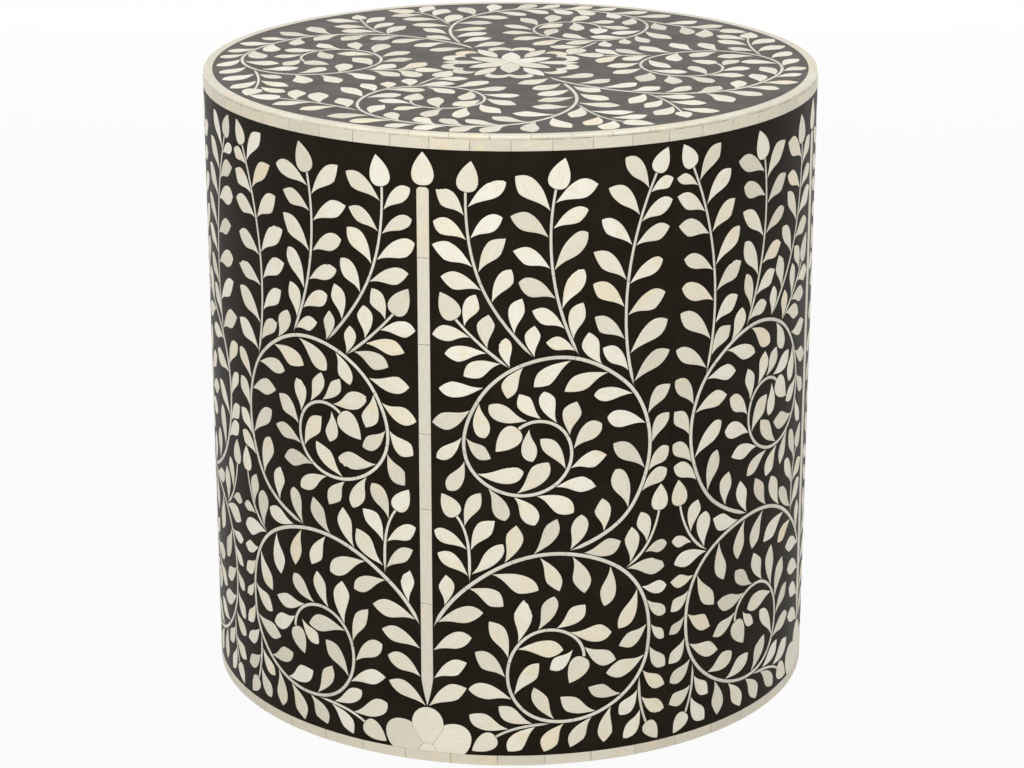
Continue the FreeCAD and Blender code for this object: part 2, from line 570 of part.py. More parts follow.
def wall_edge(surface, poles, bearing):
    """One line or curve of the flat map wrapped on a round surface."""
    curve = Part.Geom2d.BezierCurve2d()
    curve.setPoles([FlatPoint(bearing + x / RADIUS, y) for x, y in poles])
    return curve.toShape(surface)


def wall_piece(outline, bearing):
    """Bone piece from the resin bed of the wall out to its face."""
    outline = anticlockwise(outline)
    face_edges = [wall_edge(OUTER, poles, bearing) for poles in outline]
    bed_edges = [wall_edge(BED, poles, bearing) for poles in outline]
    sides = [Part.makeRuledSurface(a, b) for a, b in zip(face_edges, bed_edges)]
    ends = [Part.Face(OUTER, Part.Wire(face_edges)), Part.Face(BED, Part.Wire(bed_edges))]
    return closed_solid(ends + sides)


def top_wire(outline):
    """Closed outline in the plane under the inlay layer of the table top."""
    edges = []
    for poles in anticlockwise(outline):
        curve = Part.BezierCurve()
        curve.setPoles([Vector(x, y, RIM_TOP) for x, y in poles])
        edges.append(curve.toShape())
    return Part.Wire(edges)


def top_piece(outline):
    """Bone piece through the inlay layer of the table top."""
    return Part.Face(top_wire(outline)).extrude(Vector(0, 0, SKIN))


def top_resin(outlines):
    """Resin disc of the table top, with a pocket for every bone piece."""
    circle = Part.Circle(Vector(0, 0, RIM_TOP), Vector(0, 0, 1), RING_RADIUS)
    disc = Part.Face(Part.Wire([circle.toShape()]))
    for outline in outlines:
        disc = Part.Face(disc, top_wire(outline).reversed())
    return disc.extrude(Vector(0, 0, SKIN))


def segments(profile, pitch, start):
    """Band of bone segments turned from one profile of (radius, height) edges."""
    count = round(2 * math.pi * RADIUS / pitch)
    step = 360.0 / count
    gap = math.degrees(SEGMENT_GAP / RADIUS)
    face = Part.Face(Part.Wire(profile))
    pieces = []
    for i in range(count):
        blank = face.copy()
        blank.rotate(Vector(0, 0, 0), Vector(0, 0, 1), start + i * step)
        pieces.append(blank.revolve(Vector(0, 0, 0), Vector(0, 0, 1), step - gap))
    return pieces


def upright_profile(outside, low, high):
    """Section of an upright band or bed on the wooden drum."""
    corners = [(CORE_RADIUS, low), (outside, low), (outside, high), (CORE_RADIUS, high)]
    points = [Vector(x, 0, z) for x, z in corners]
    return [Part.makeLine(a, b) for a, b in zip(points, points[1:] + points[:1])]


def wall_resin(degrees):
    """Quarter of the resin bed round the wall, with a strip at its middle."""
    bed = Part.Face(Part.Wire(upright_profile(BED_RADIUS, BASE_BAND_HEIGHT, RIM_FOOT)))
    bed.rotate(Vector(0, 0, 0), Vector(0, 0, 1), degrees - 45.0)
    return bed.revolve(Vector(0, 0, 0), Vector(0, 0, 1), 90.0)


def ring_profile():
    """Section of the top ring with its softened outer corner."""
    inside_low = Vector(RING_RADIUS, 0, RIM_TOP)
    outside_low = Vector(RADIUS, 0, RIM_TOP)
    outside_high = Vector(RADIUS, 0, HEIGHT - RING_ROUND)
    edge_high = Vector(RADIUS - RING_ROUND, 0, HEIGHT)
    inside_high = Vector(RING_RADIUS, 0, HEIGHT)
    lean = RING_ROUND * (1 - math.sqrt(0.5))
    crown = Vector(RADIUS - lean, 0, HEIGHT - lean)
    return [Part.makeLine(inside_low, outside_low), Part.makeLine(outside_low, outside_high),
            Part.Arc(outside_high, crown, edge_high).toShape(), Part.makeLine(edge_high, inside_high),
            Part.makeLine(inside_high, inside_low)]


def save(name, solids):
    """Write one node."""
    shape = solids[0] if len(solids) == 1 else Part.makeCompound(solids)
    shape.exportStep("parts/" + name + ".step")


def disc(radius, low, high):
    """Round panel between two heights."""
    return Part.makeCylinder(radius, high - low, Vector(0, 0, low))


# Wooden drum: a base panel, a round wall standing on it and a top panel over both
ceiling = RIM_TOP - TOP_THICKNESS
save("base_panel", [disc(CORE_RADIUS, 0, BASE_THICKNESS)])
save("drum_wall", [disc(CORE_RADIUS, BASE_THICKNESS, ceiling).cut(
    disc(CORE_RADIUS - WALL_THICKNESS, BASE_THICKNESS, ceiling))])
save("top_panel", [disc(CORE_RADIUS, ceiling, RIM_TOP)])

# Bands of bone segments
save("base_band", segments(upright_profile(RADIUS, 0, BASE_BAND_HEIGHT), BASE_SEGMENT, 0.0))
save("rim_band", segments(upright_profile(RADIUS, RIM_FOOT, RIM_TOP), RIM_SEGMENT, 3.0))
save("top_ring", segments(ring_profile(), RIM_SEGMENT, 6.4))

# Wall inlay, one quarter of the wall to each strip
finials = []
for number, (name, degrees) in enumerate(SIDES.items()):
    bearing = math.radians(degrees)
    right = wall_half(2 * number + 1)
    left = wall_half(2 * number + 2)
    groups = {"strip": strip_pieces(), "flower": flower_pieces(), "finial": [finial()]}
    for kind in ("stems", "leaves", "buds"):
        groups[kind] = getattr(right, kind) + [mirrored(o) for o in getattr(left, kind)]
    pieces = {kind: [wall_piece(o, bearing) for o in outlines] for kind, outlines in groups.items()}
    for kind in ("strip", "flower", "stems", "leaves", "buds"):
        save(kind + "_" + name, pieces[kind])
    finials += pieces["finial"]
    save("wall_resin_" + name, [wall_resin(degrees)])
save("finials", finials)

# Table top inlay
petals, sepals, frame = rosette()
inlay = top_inlay(11)
save("rosette_petals", [top_piece(o) for o in petals])
save("rosette_leaves", [top_piece(o) for o in sepals])
save("rosette_frame", [top_piece(o) for o in frame])
save("top_stems", [top_piece(o) for o in inlay.stems])
save("top_leaves", [top_piece(o) for o in inlay.leaves])
save("top_buds", [top_piece(o) for o in inlay.buds])
save("top_resin", [top_resin(petals + sepals + frame + inlay.stems + inlay.leaves + inlay.buds)])
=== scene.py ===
# %% [markdown]
# # A drum side table in bone inlay
#
# The real table is a closed wooden drum. Hundreds of small bone pieces are glued on it, dark resin is
# poured between them, and the whole skin is then rubbed down and polished. The construction is already
# there as a fixed frame, one object to each kind of piece. This lesson gives that frame its looks: soft
# worn edges, bone with grain and pores, satin resin, a camera and studio light.

# %% Load the frame
import math
import bmesh
import bpy
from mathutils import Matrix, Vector, noise


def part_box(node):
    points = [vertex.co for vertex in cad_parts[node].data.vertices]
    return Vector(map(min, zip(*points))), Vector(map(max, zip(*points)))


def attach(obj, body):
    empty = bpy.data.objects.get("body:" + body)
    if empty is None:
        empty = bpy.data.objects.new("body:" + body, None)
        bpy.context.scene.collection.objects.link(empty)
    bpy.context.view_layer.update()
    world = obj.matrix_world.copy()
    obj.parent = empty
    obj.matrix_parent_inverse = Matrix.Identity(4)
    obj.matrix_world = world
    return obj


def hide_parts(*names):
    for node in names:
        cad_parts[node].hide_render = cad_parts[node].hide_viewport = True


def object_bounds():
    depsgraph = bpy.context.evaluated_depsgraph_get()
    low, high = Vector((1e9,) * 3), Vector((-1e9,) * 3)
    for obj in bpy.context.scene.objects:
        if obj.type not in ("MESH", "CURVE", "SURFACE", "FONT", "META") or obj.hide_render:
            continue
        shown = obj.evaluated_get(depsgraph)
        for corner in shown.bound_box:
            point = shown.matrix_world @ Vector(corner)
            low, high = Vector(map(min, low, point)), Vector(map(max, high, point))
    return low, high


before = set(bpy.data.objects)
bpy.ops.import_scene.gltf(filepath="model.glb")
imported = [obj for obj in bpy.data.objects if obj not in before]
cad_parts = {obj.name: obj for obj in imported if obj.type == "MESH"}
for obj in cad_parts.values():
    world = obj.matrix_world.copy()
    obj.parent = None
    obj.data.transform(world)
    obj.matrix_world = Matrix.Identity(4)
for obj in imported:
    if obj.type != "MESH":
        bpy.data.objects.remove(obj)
cad_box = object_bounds()
height = cad_box[1].z
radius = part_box("base_band")[1].x
MM = 0.001
print("nodes", len(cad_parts), "height", round(height, 4), "radius", round(radius, 4))

# %% [markdown]
# ## Camera
#
# The table is seen from a little above, from about fifteen degrees to the right of its front strip, with
# a long lens. A long lens keeps the walls nearly upright. The camera could be aimed with a constraint,
# but a place, a pitch and a heading in plain numbers are easier to check against the picture.

# %% Place the camera
CAMERA_BEARING = math.radians(15.2)
CAMERA_DISTANCE = 2.169
CAMERA_HEIGHT = 0.94
CAMERA_PITCH = math.radians(18.58)
CAMERA_HEADING_TRIM = math.radians(0.03)
CAMERA_LENS = 105.8

bpy.ops.object.select_all(action="DESELECT")
bpy.ops.object.camera_add(
    location=(CAMERA_DISTANCE * math.sin(CAMERA_BEARING), -CAMERA_DISTANCE * math.cos(CAMERA_BEARING),
              CAMERA_HEIGHT),
    rotation=(math.pi / 2 - CAMERA_PITCH, 0, CAMERA_BEARING - CAMERA_HEADING_TRIM),
)
camera = bpy.context.object
camera.data.lens = CAMERA_LENS
bpy.context.scene.camera = camera
print("camera", [round(x, 3) for x in camera.location], "lens", camera.data.lens)

# %% [markdown]
# ## Studio
#
# The picture has a white ground and soft frontal light with hardly a shadow. A wide pale floor, a white
# backdrop behind the table and a dim world give that. The camera, and what a surface mirrors, see them as
# plain white. Only the floor keeps a small part of its own shading, so the table still has a faint shadow
# to stand on. The backdrop is what the satin table top mirrors at a low angle, which turns its black to
# grey, and the floor pales the wall towards its left and right edge. Two broad lamps stand in front, one to
# each side of the camera, a weak one hangs above, and a long low one lights the back of the drum without
# reaching the top.

# %% Plain white for the camera and for gloss
WHITE = (1, 1, 1, 1)

scene = bpy.context.scene
scene.view_settings.view_transform = "Standard"


def white_rays(tree):
    """One for a ray from the camera, off a glossy surface or through glass, and nothing for other rays."""
    path = tree.nodes.new("ShaderNodeLightPath")
    seen = path.outputs["Is Camera Ray"]
    for kind in ("Is Glossy Ray", "Is Transmission Ray"):
        either = tree.nodes.new("ShaderNodeMath")
        either.operation = "MAXIMUM"
        tree.links.new(seen, either.inputs[0])
        tree.links.new(path.outputs[kind], either.inputs[1])
        seen = either.outputs[0]
    return seen


def white_to_camera(tree, lit, white_share):
    """A mix of a lit shader and plain white, with this share of white for the camera and for gloss."""
    white = tree.nodes.new("ShaderNodeEmission")
    white.inputs["Color"].default_value = WHITE
    share = tree.nodes.new("ShaderNodeMath")
    share.operation = "MULTIPLY"
    share.inputs[1].default_value = white_share
    mix = tree.nodes.new("ShaderNodeMixShader")
    tree.links.new(white_rays(tree), share.inputs[0])
    tree.links.new(share.outputs[0], mix.inputs[0])
    tree.links.new(lit, mix.inputs[1])
    tree.links.new(white.outputs[0], mix.inputs[2])
    return mix.outputs[0]


print("view transform", scene.view_settings.view_transform)

# %% Floor
FLOOR_SIZE = 40.0
FLOOR_PAINT = (0.2, 0.19, 0.175, 1)
FLOOR_ROUGHNESS = 0.9
FLOOR_WHITE = 0.95

bpy.ops.object.select_all(action="DESELECT")
bpy.ops.mesh.primitive_plane_add(size=FLOOR_SIZE, location=(0, 0, 0))
floor = bpy.context.object
floor.name = "studio_floor"
floor_paint = bpy.data.materials.new("studio_paint")
floor_paint.use_nodes = True
paint_tree = floor_paint.node_tree
paint_shader = paint_tree.nodes["Principled BSDF"]
paint_shader.inputs["Base Color"].default_value = FLOOR_PAINT
paint_shader.inputs["Roughness"].default_value = FLOOR_ROUGHNESS
paint_tree.links.new(white_to_camera(paint_tree, paint_shader.outputs[0], FLOOR_WHITE),
                     paint_tree.nodes["Material Output"].inputs["Surface"])
floor.data.materials.append(floor_paint)
print("floor", FLOOR_SIZE, "m wide")

# %% Backdrop
BACKDROP_SIZE = 5.0
BACKDROP_PLACE = (0.6, 3.6, 2.5)
BACKDROP_TURN = (math.pi / 2, 0, 0)
BACKDROP_GLOW = (1.0, 0.955, 0.9, 1)
BACKDROP_WHITE = 1.0

bpy.ops.object.select_all(action="DESELECT")
bpy.ops.mesh.primitive_plane_add(size=BACKDROP_SIZE, location=BACKDROP_PLACE, rotation=BACKDROP_TURN)
backdrop = bpy.context.object
backdrop.name = "studio_backdrop"
glow = bpy.data.materials.new("studio_glow")
glow.use_nodes = True
glow_tree = glow.node_tree
glow_light = glow_tree.nodes.new("ShaderNodeEmission")
glow_light.inputs["Color"].default_value = BACKDROP_GLOW
glow_tree.links.new(white_to_camera(glow_tree, glow_light.outputs[0], BACKDROP_WHITE),
                    glow_tree.nodes["Material Output"].inputs["Surface"])
backdrop.data.materials.append(glow)
print("backdrop", BACKDROP_SIZE, "m wide at", BACKDROP_PLACE)

# %% World
WORLD_LIGHT = 0.27
WORLD_WHITE = 1.0

world = bpy.data.worlds.new("studio_world")
scene.world = world
world.use_nodes = True
sky = world.node_tree
sky_light = sky.nodes["Background"]
sky_strength = sky.nodes.new("ShaderNodeMapRange")
sky_strength.inputs["To Min"].default_value = WORLD_LIGHT
sky_strength.inputs["To Max"].default_value = WORLD_WHITE
sky.links.new(white_rays(sky), sky_strength.inputs["Value"])
sky.links.new(sky_strength.outputs[0], sky_light.inputs["Strength"])
sky_light.inputs["Color"].default_value = WHITE
print("world lights with", WORLD_LIGHT, "of white")

# %% Lamps, each with its place, its width and depth in metres, its watts and its colour
WARM_LIGHT = (1.0, 1.0, 0.985)
COOL_LIGHT = (0.86, 0.94, 1.0)
LAMPS = {
    "front_left": ((-1.4, -2.3, 1.9), (1.5, 1.5), 66.5, WARM_LIGHT),
    "front_right": ((2.1, -1.55, 1.8), (1.5, 1.5), 58.0, WARM_LIGHT),
    "overhead": ((0.2, 0.2, 3.0), (2.0, 2.0), 10.0, COOL_LIGHT),
    "back_low": ((-0.7, 2.5, 0.25), (2.4, 0.3), 30.0, WARM_LIGHT),
}
for name, (place, (width, depth), watts, colour) in LAMPS.items():
    bpy.ops.object.light_add(type="AREA", location=place)
    lamp = bpy.context.object
    lamp.name = name
    lamp.data.shape = "RECTANGLE"
    lamp.data.size = width
    lamp.data.size_y = depth
    lamp.visible_camera = False
    lamp.data.energy = watts
    lamp.data.color = colour
    aim = Vector((0, 0, height / 2)) - lamp.location
    lamp.rotation_euler = aim.to_track_quat("-Z", "Y").to_euler()
print("lamps", sorted(LAMPS))

# %% [markdown]
# ## Bone pieces with worn edges
#
# On the frame every bone piece ends in a knife-sharp edge. Sanding and years of dusting round that edge
# a little, and the light catches it. A bevel modifier could do this, but it clamps itself at the thin
# leaf tips. Here the show faces are inset by a fraction of a millimetre instead, and the outline that is
# left outside the inset is pressed back towards the drum. The same step works for curved wall pieces,
# where pressing back is a scale about the drum's axis, and for the flat pieces on the top.

# %% Helpers for copying a node and softening its edges
WORN_WIDTH = 0.16 * MM
WORN_DEPTH = 0.14 * MM
SURFACE_SLACK = 0.06 * MM
MERGE_DISTANCE = 0.001 * MM
SMOOTH_ANGLE = math.radians(25)


def only(piece):
    """Make one object the only selected one, and the active one."""
    bpy.ops.object.select_all(action="DESELECT")
    piece.select_set(True)
    bpy.context.view_layer.objects.active = piece


def copy_of(node, name):
    """A new piece with its own copy of a node's mesh, its loose triangles joined."""
    piece = bpy.data.objects.new(name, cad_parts[node].data.copy())
    bpy.context.scene.collection.objects.link(piece)
    piece.data.materials.clear()
    only(piece)
    if piece.data.has_custom_normals:
        bpy.ops.mesh.customdata_custom_splitnormals_clear()
    bpy.ops.object.mode_set(mode="EDIT")
    bpy.ops.mesh.select_mode(type="FACE")
    bpy.ops.mesh.select_all(action="SELECT")
    bpy.ops.mesh.remove_doubles(threshold=MERGE_DISTANCE)
    bpy.ops.mesh.select_all(action="DESELECT")
    bpy.ops.object.mode_set(mode="OBJECT")
    return piece


def on_wall(point):
    """True for a point on the outer round surface."""
    return math.hypot(point.x, point.y) > radius - SURFACE_SLACK


def on_top(point):
    """True for a point on the table top."""
    return point.z > height - SURFACE_SLACK


def press_back(at_surface, depth):
    """Press the selected points back under the surface they lie on."""
    if at_surface is on_wall:
        share = 1 - depth / radius
        bpy.ops.transform.resize(value=(share, share, 1), center_override=(0, 0, 0))
    else:
        bpy.ops.transform.translate(value=(0, 0, -depth))


def soften(piece, at_surface, wear):
    """Inset the show faces of every bone piece and press their outlines back, by a share of full wear."""
    mesh = piece.data
    for face in mesh.polygons:
        face.select = all(at_surface(mesh.vertices[i].co) for i in face.vertices)
    only(piece)
    bpy.ops.object.mode_set(mode="EDIT")
    bpy.ops.mesh.inset(thickness=WORN_WIDTH * wear, depth=0, use_boundary=True, use_even_offset=True)
    bpy.ops.object.mode_set(mode="OBJECT")
    kept = set()
    for face in mesh.polygons:
        if face.select:
            kept.update(face.vertices)
    edge = mesh.attributes.new("edge", "FLOAT", "POINT")
    for vertex in mesh.vertices:
        inside = vertex.index in kept
        edge.data[vertex.index].value = 1.0 if inside else 0.0
        vertex.select = at_surface(vertex.co) and not inside
    for face in mesh.polygons:
        face.select = False
    for line in mesh.edges:
        line.select = False
    bpy.ops.object.mode_set(mode="EDIT")
    bpy.ops.mesh.select_mode(type="VERT")
    press_back(at_surface, WORN_DEPTH * wear)
    bpy.ops.object.mode_set(mode="OBJECT")
    bpy.ops.object.shade_smooth_by_angle(angle=SMOOTH_ANGLE)


# %% [markdown]
# ## A tone and a grain for every piece
#
# Each bone piece is sawn from another place of the bone, so no two have the same tone, and the grain runs
# along the length of the piece. A texture on plain coordinates would run straight across neighbouring
# leaves. So each separate piece gets three attributes: one tone number, half its length, and its own flat
# coordinates in millimetres, along its length, across it, and a third that only sets it apart from the
# others.

# %% Helper for tones and grain
GRAIN_SPREAD = 900.0
CHANCE_CELLS = 1000      # to the metre


def separate_pieces(mesh):
    """Lists of vertices, one list for each piece that hangs together."""
    work = bmesh.new()
    work.from_mesh(mesh)
    seen = set()
    groups = []
    for start in work.verts:
        if start.index in seen:
            continue
        seen.add(start.index)
        group = [start]
        for vertex in group:
            for line in vertex.link_edges:
                other = line.other_vert(vertex)
                if other.index not in seen:
                    seen.add(other.index)
                    group.append(other)
        groups.append([(v.index, v.co.copy()) for v in group])
    work.free()
    return groups


def unrolled(point, middle, at_surface):
    """A point as flat millimetres from the middle of its piece."""
    if at_surface is on_top:
        return (point.x - middle.x) / MM, (point.y - middle.y) / MM
    turn = math.remainder(math.atan2(point.y, point.x) - math.atan2(middle.y, middle.x), 2 * math.pi)
    return turn * radius / MM, (point.z - middle.z) / MM


def lay_grain(piece, at_surface):
    """Give each separate piece a tone, its half length and coordinates along its own length."""
    mesh = piece.data
    kinds = {"tone": "FLOAT", "reach": "FLOAT", "grain": "FLOAT_VECTOR"}
    for name, kind in kinds.items():
        mesh.attributes.new(name, kind, "POINT")
    tone, reach, grain = (mesh.attributes[name] for name in kinds)
    groups = separate_pieces(mesh)
    for group in groups:
        middle = sum((point for _, point in group), Vector()) / len(group)
        flat = [unrolled(point, middle, at_surface) for _, point in group]
        spread_x = sum(x * x for x, _ in flat)
        spread_y = sum(y * y for _, y in flat)
        spread_both = sum(x * y for x, y in flat)
        lean = 0.5 * math.atan2(2 * spread_both, spread_x - spread_y)
        cosine, sine = math.cos(lean), math.sin(lean)
        chance = noise.cell_vector(middle * CHANCE_CELLS)
        turned = [(x * cosine + y * sine, y * cosine - x * sine) for x, y in flat]
        half_length = max(abs(along) for along, _ in turned)
        for (index, _), (along, across) in zip(group, turned):
            tone.data[index].value = chance.x % 1.0
            reach.data[index].value = half_length
            grain.data[index].vector = (along, across, chance.y * GRAIN_SPREAD)
    return len(groups)


# %% [markdown]
# ## Bone finish
#
# Polished bone is ivory, with a warm tan cloud in some pieces, faint streaks along the grain and dark pores
# where the saw opened the spongy inside. The edge of a piece is a shade darker, where resin and dirt
# have soaked in. All of it is made from nodes on the grain coordinates, so that it follows every piece. Only
# the specks in the seam between the rim and the top ring go by their height on the table.

# %% Small node helpers
MIX_FIRST, MIX_SECOND, MIX_RESULT = 6, 7, 2      # the colour sockets of a mix node


def srgb(red, green, blue):
    """A picture colour of 0 to 255 as the linear colour that a shader takes."""
    parts = []
    for value in (red, green, blue):
        value /= 255
        parts.append(value / 12.92 if value <= 0.04045 else ((value + 0.055) / 1.055) ** 2.4)
    return (*parts, 1.0)


class Finish:
    """A material with short calls for the nodes that its pattern needs."""

    def __init__(self, name):
        self.material = bpy.data.materials.new(name)
        self.material.use_nodes = True
        self.tree = self.material.node_tree
        self.shader = self.tree.nodes["Principled BSDF"]

    def link(self, source, socket):
        """Join an output to a socket, or set the socket to a plain value."""
        if isinstance(source, bpy.types.NodeSocket):
            self.tree.links.new(source, socket)
        else:
            socket.default_value = source

    def attribute(self, name, output):
        node = self.tree.nodes.new("ShaderNodeAttribute")
        node.attribute_name = name
        return node.outputs[output]

    def object_place(self):
        return self.tree.nodes.new("ShaderNodeTexCoord").outputs["Object"]

    def stretched(self, place, scale):
        node = self.tree.nodes.new("ShaderNodeMapping")
        self.link(place, node.inputs["Vector"])
        node.inputs["Scale"].default_value = scale
        return node.outputs[0]

    def noise(self, place, scale, detail=2.0, rough=0.5):
        node = self.tree.nodes.new("ShaderNodeTexNoise")
        self.link(place, node.inputs["Vector"])
        node.inputs["Scale"].default_value = scale
        node.inputs["Detail"].default_value = detail
        node.inputs["Roughness"].default_value = rough
        return node.outputs["Fac"]

    def cells(self, place, scale):
        node = self.tree.nodes.new("ShaderNodeTexVoronoi")
        self.link(place, node.inputs["Vector"])
        node.inputs["Scale"].default_value = scale
        return node.outputs["Distance"]

    def between(self, value, start, end, low=0.0, high=1.0):
        """A value from one range laid on another, clamped at both ends."""
        node = self.tree.nodes.new("ShaderNodeMapRange")
        self.link(value, node.inputs["Value"])
        node.inputs["From Min"].default_value = start
        node.inputs["From Max"].default_value = end
        node.inputs["To Min"].default_value = low
        node.inputs["To Max"].default_value = high
        return node.outputs[0]

    def math(self, operation, first, second=0.0):
        node = self.tree.nodes.new("ShaderNodeMath")
        node.operation = operation
        self.link(first, node.inputs[0])
        self.link(second, node.inputs[1])
        return node.outputs[0]

    def times(self, first, second):
        return self.math("MULTIPLY", first, second)

    def part_of(self, place, axis):
        node = self.tree.nodes.new("ShaderNodeSeparateXYZ")
        self.link(place, node.inputs[0])
        return node.outputs[axis]

    def ramp(self, value, stops):
        node = self.tree.nodes.new("ShaderNodeValToRGB")
        self.link(value, node.inputs[0])
        steps = node.color_ramp.elements
        while len(steps) < len(stops):
            steps.new(1.0)
        for step, (place, colour) in zip(steps, stops):
            step.position = place
            step.color = colour
        return node.outputs[0]

    def blend(self, share, first, second, mode="MIX"):
        node = self.tree.nodes.new("ShaderNodeMix")
        node.data_type = "RGBA"
        node.blend_type = mode
        self.link(share, node.inputs[0])
        self.link(first, node.inputs[MIX_FIRST])
        self.link(second, node.inputs[MIX_SECOND])
        return node.outputs[MIX_RESULT]

    def bump(self, level, strength, distance, under=None):
        node = self.tree.nodes.new("ShaderNodeBump")
        self.link(level, node.inputs["Height"])
        node.inputs["Strength"].default_value = strength
        node.inputs["Distance"].default_value = distance
        if under is not None:
            self.tree.links.new(under, node.inputs["Normal"])
        return node.outputs[0]

    def seam_specks(self, level):
        """A broken line of specks along one height, where two bands meet."""
        place = self.object_place()
        apart = self.math("ABSOLUTE", self.math("SUBTRACT", self.part_of(place, "Z"), level))
        near = self.between(apart, *SEAM_FADE, low=1.0, high=0.0)
        speckle = self.noise(place, SPECK_SCALE, detail=4.0, rough=0.7)
        return self.times(near, self.between(speckle, *SPECK_RANGE, *SPECK_DARKNESS))

    def joint_dirt(self, grain):
        """Dirt at both ends of a band segment, more at some joints than at others."""
        along = self.math("ABSOLUTE", self.part_of(grain, "X"))
        room = self.math("SUBTRACT", self.attribute("reach", "Fac"), along)
        near = self.between(room, *JOINT_FADE, low=1.0, high=0.0)
        uneven = self.noise(grain, JOINT_SCALE)
        return self.times(near, self.between(uneven, *JOINT_RANGE, high=JOINT_DARKNESS))

    def finish(self, colour, roughness, normal):
        """Join the pattern to the shader."""
        self.link(colour, self.shader.inputs["Base Color"])
        self.link(roughness, self.shader.inputs["Roughness"])
        self.link(normal, self.shader.inputs["Normal"])
        return self.material


# %% Values of the bone finish, with scales and fades of the grain in its own millimetres
TAN_CLOUD = srgb(235, 217, 181)
CLOUD_SCALE = 0.085
CLOUD_RANGE = (0.53, 0.74)
STREAK_STRETCH = (0.09, 0.7, 1.0)
STREAK_SHADES = [(0.3, (0.93, 0.925, 0.91, 1)), (0.65, WHITE)]
STREAK_RANGE = (0.3, 0.7)
STREAK_DEPTH = 0.15 * MM
MOTTLE_SCALE = 0.75
MOTTLE_SHADES = [(0.3, (0.92, 0.91, 0.9, 1)), (0.7, WHITE)]
PORE_BROWN = srgb(150, 138, 118)
SPONGY_SCALE = 0.16
SPONGY_RANGE = (0.56, 0.66)
PORE_STRETCH = (0.45, 1.0, 1.0)
PORE_SCALE = 1.1
PORE_RANGE = (0.1, 0.24)
PORE_DEPTH = 0.25 * MM
EDGE_BROWN = srgb(126, 116, 100)
EDGE_RANGE = (0.0, 0.75)
EDGE_DARKNESS = 0.45
BONE_ROUGHNESS = (0.5, 0.36)
SEAM_BROWN = srgb(112, 96, 72)
SEAM_FADE = (0.15 * MM, 0.5 * MM)
SPECK_SCALE = 60.0
SPECK_RANGE = (0.42, 0.62)
SPECK_DARKNESS = (0.1, 0.85)
JOINT_FADE = (0.1, 0.6)
JOINT_SCALE = 0.3
JOINT_RANGE = (0.45, 0.68)
JOINT_DARKNESS = 0.55
print("streaks up to", STREAK_DEPTH / MM, "mm deep, pores up to", PORE_DEPTH / MM)

# %% Bone for leaves, stems, strips and bands
LEAF_TONES = [(0.0, srgb(216, 210, 195)), (0.16, srgb(226, 221, 205)), (0.5, srgb(233, 228, 212)),
              (0.86, srgb(240, 236, 224)), (0.95, srgb(235, 228, 208)), (1.0, srgb(235, 222, 195))]
STEM_TONES = [(0.0, srgb(210, 207, 195)), (0.5, srgb(220, 217, 205)), (1.0, srgb(227, 223, 210))]
STRIP_TONES = [(0.0, srgb(216, 211, 197)), (0.5, srgb(228, 223, 209)), (1.0, srgb(224, 215, 196))]
# The band tones are darker than the leaf tones. This is partly the bands' own greyer bone and partly painted
# shade for the dimmer light at the foot of the drum. That shade lies on the rim and the top ring too.
BAND_TONES_WITH_PAINTED_SHADE = [(0.0, srgb(213, 207, 190)), (0.5, srgb(222, 217, 202)), (1.0, srgb(220, 211, 190))]


def bone(name, tones, clouds, pores, seam=None):
    """Polished bone: tones by piece, tan clouds, streaks along the grain and open pores."""
    made = Finish(name)
    grain = made.attribute("grain", "Vector")
    colour = made.ramp(made.attribute("tone", "Fac"), tones)
    cloud = made.between(made.noise(grain, CLOUD_SCALE), *CLOUD_RANGE, high=clouds)
    colour = made.blend(cloud, colour, TAN_CLOUD)
    streak = made.noise(made.stretched(grain, STREAK_STRETCH), 1.0, detail=3.0, rough=0.6)
    colour = made.blend(1.0, colour, made.ramp(streak, STREAK_SHADES), "MULTIPLY")
    mottle = made.noise(grain, MOTTLE_SCALE, detail=4.0, rough=0.65)
    colour = made.blend(1.0, colour, made.ramp(mottle, MOTTLE_SHADES), "MULTIPLY")
    spongy = made.between(made.noise(grain, SPONGY_SCALE, detail=1.0), *SPONGY_RANGE)
    hole = made.cells(made.stretched(grain, PORE_STRETCH), PORE_SCALE)
    hole = made.between(hole, *PORE_RANGE, low=1.0, high=0.0)
    pore = made.times(made.times(spongy, hole), pores)
    colour = made.blend(pore, colour, PORE_BROWN)
    rim = made.between(made.attribute("edge", "Fac"), *EDGE_RANGE, low=EDGE_DARKNESS, high=0.0)
    colour = made.blend(rim, colour, EDGE_BROWN)
    if seam is not None:
        colour = made.blend(made.seam_specks(seam), colour, SEAM_BROWN)
        colour = made.blend(made.joint_dirt(grain), colour, SEAM_BROWN)
    relief = made.bump(pore, strength=0.5, distance=-PORE_DEPTH)
    relief = made.bump(streak, strength=0.12, distance=STREAK_DEPTH, under=relief)
    return made.finish(colour, made.between(streak, *STREAK_RANGE, *BONE_ROUGHNESS), relief)


leaf_bone = bone("leaf_bone", LEAF_TONES, clouds=0.5, pores=0.85)
stem_bone = bone("stem_bone", STEM_TONES, clouds=0.25, pores=0.3)
strip_bone = bone("strip_bone", STRIP_TONES, clouds=0.35, pores=0.5)
band_bone = bone("band_bone", BAND_TONES_WITH_PAINTED_SHADE, clouds=0.5, pores=0.7, seam=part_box("top_ring")[0].z)
print("bone finishes", [m.name for m in (leaf_bone, stem_bone, strip_bone, band_bone)])

# %% [markdown]
# ## Leaves, stems, buds, strips and flowers
#
# The frame already holds every piece at its place, so each node is copied, softened and given its grain.
# One loop does the four sides and the table top. The petals of the foot flowers and the arcs round the
# rosette fit closely, side by side, so they wear less and their joints stay fine lines. Each new piece
# stands for its node.

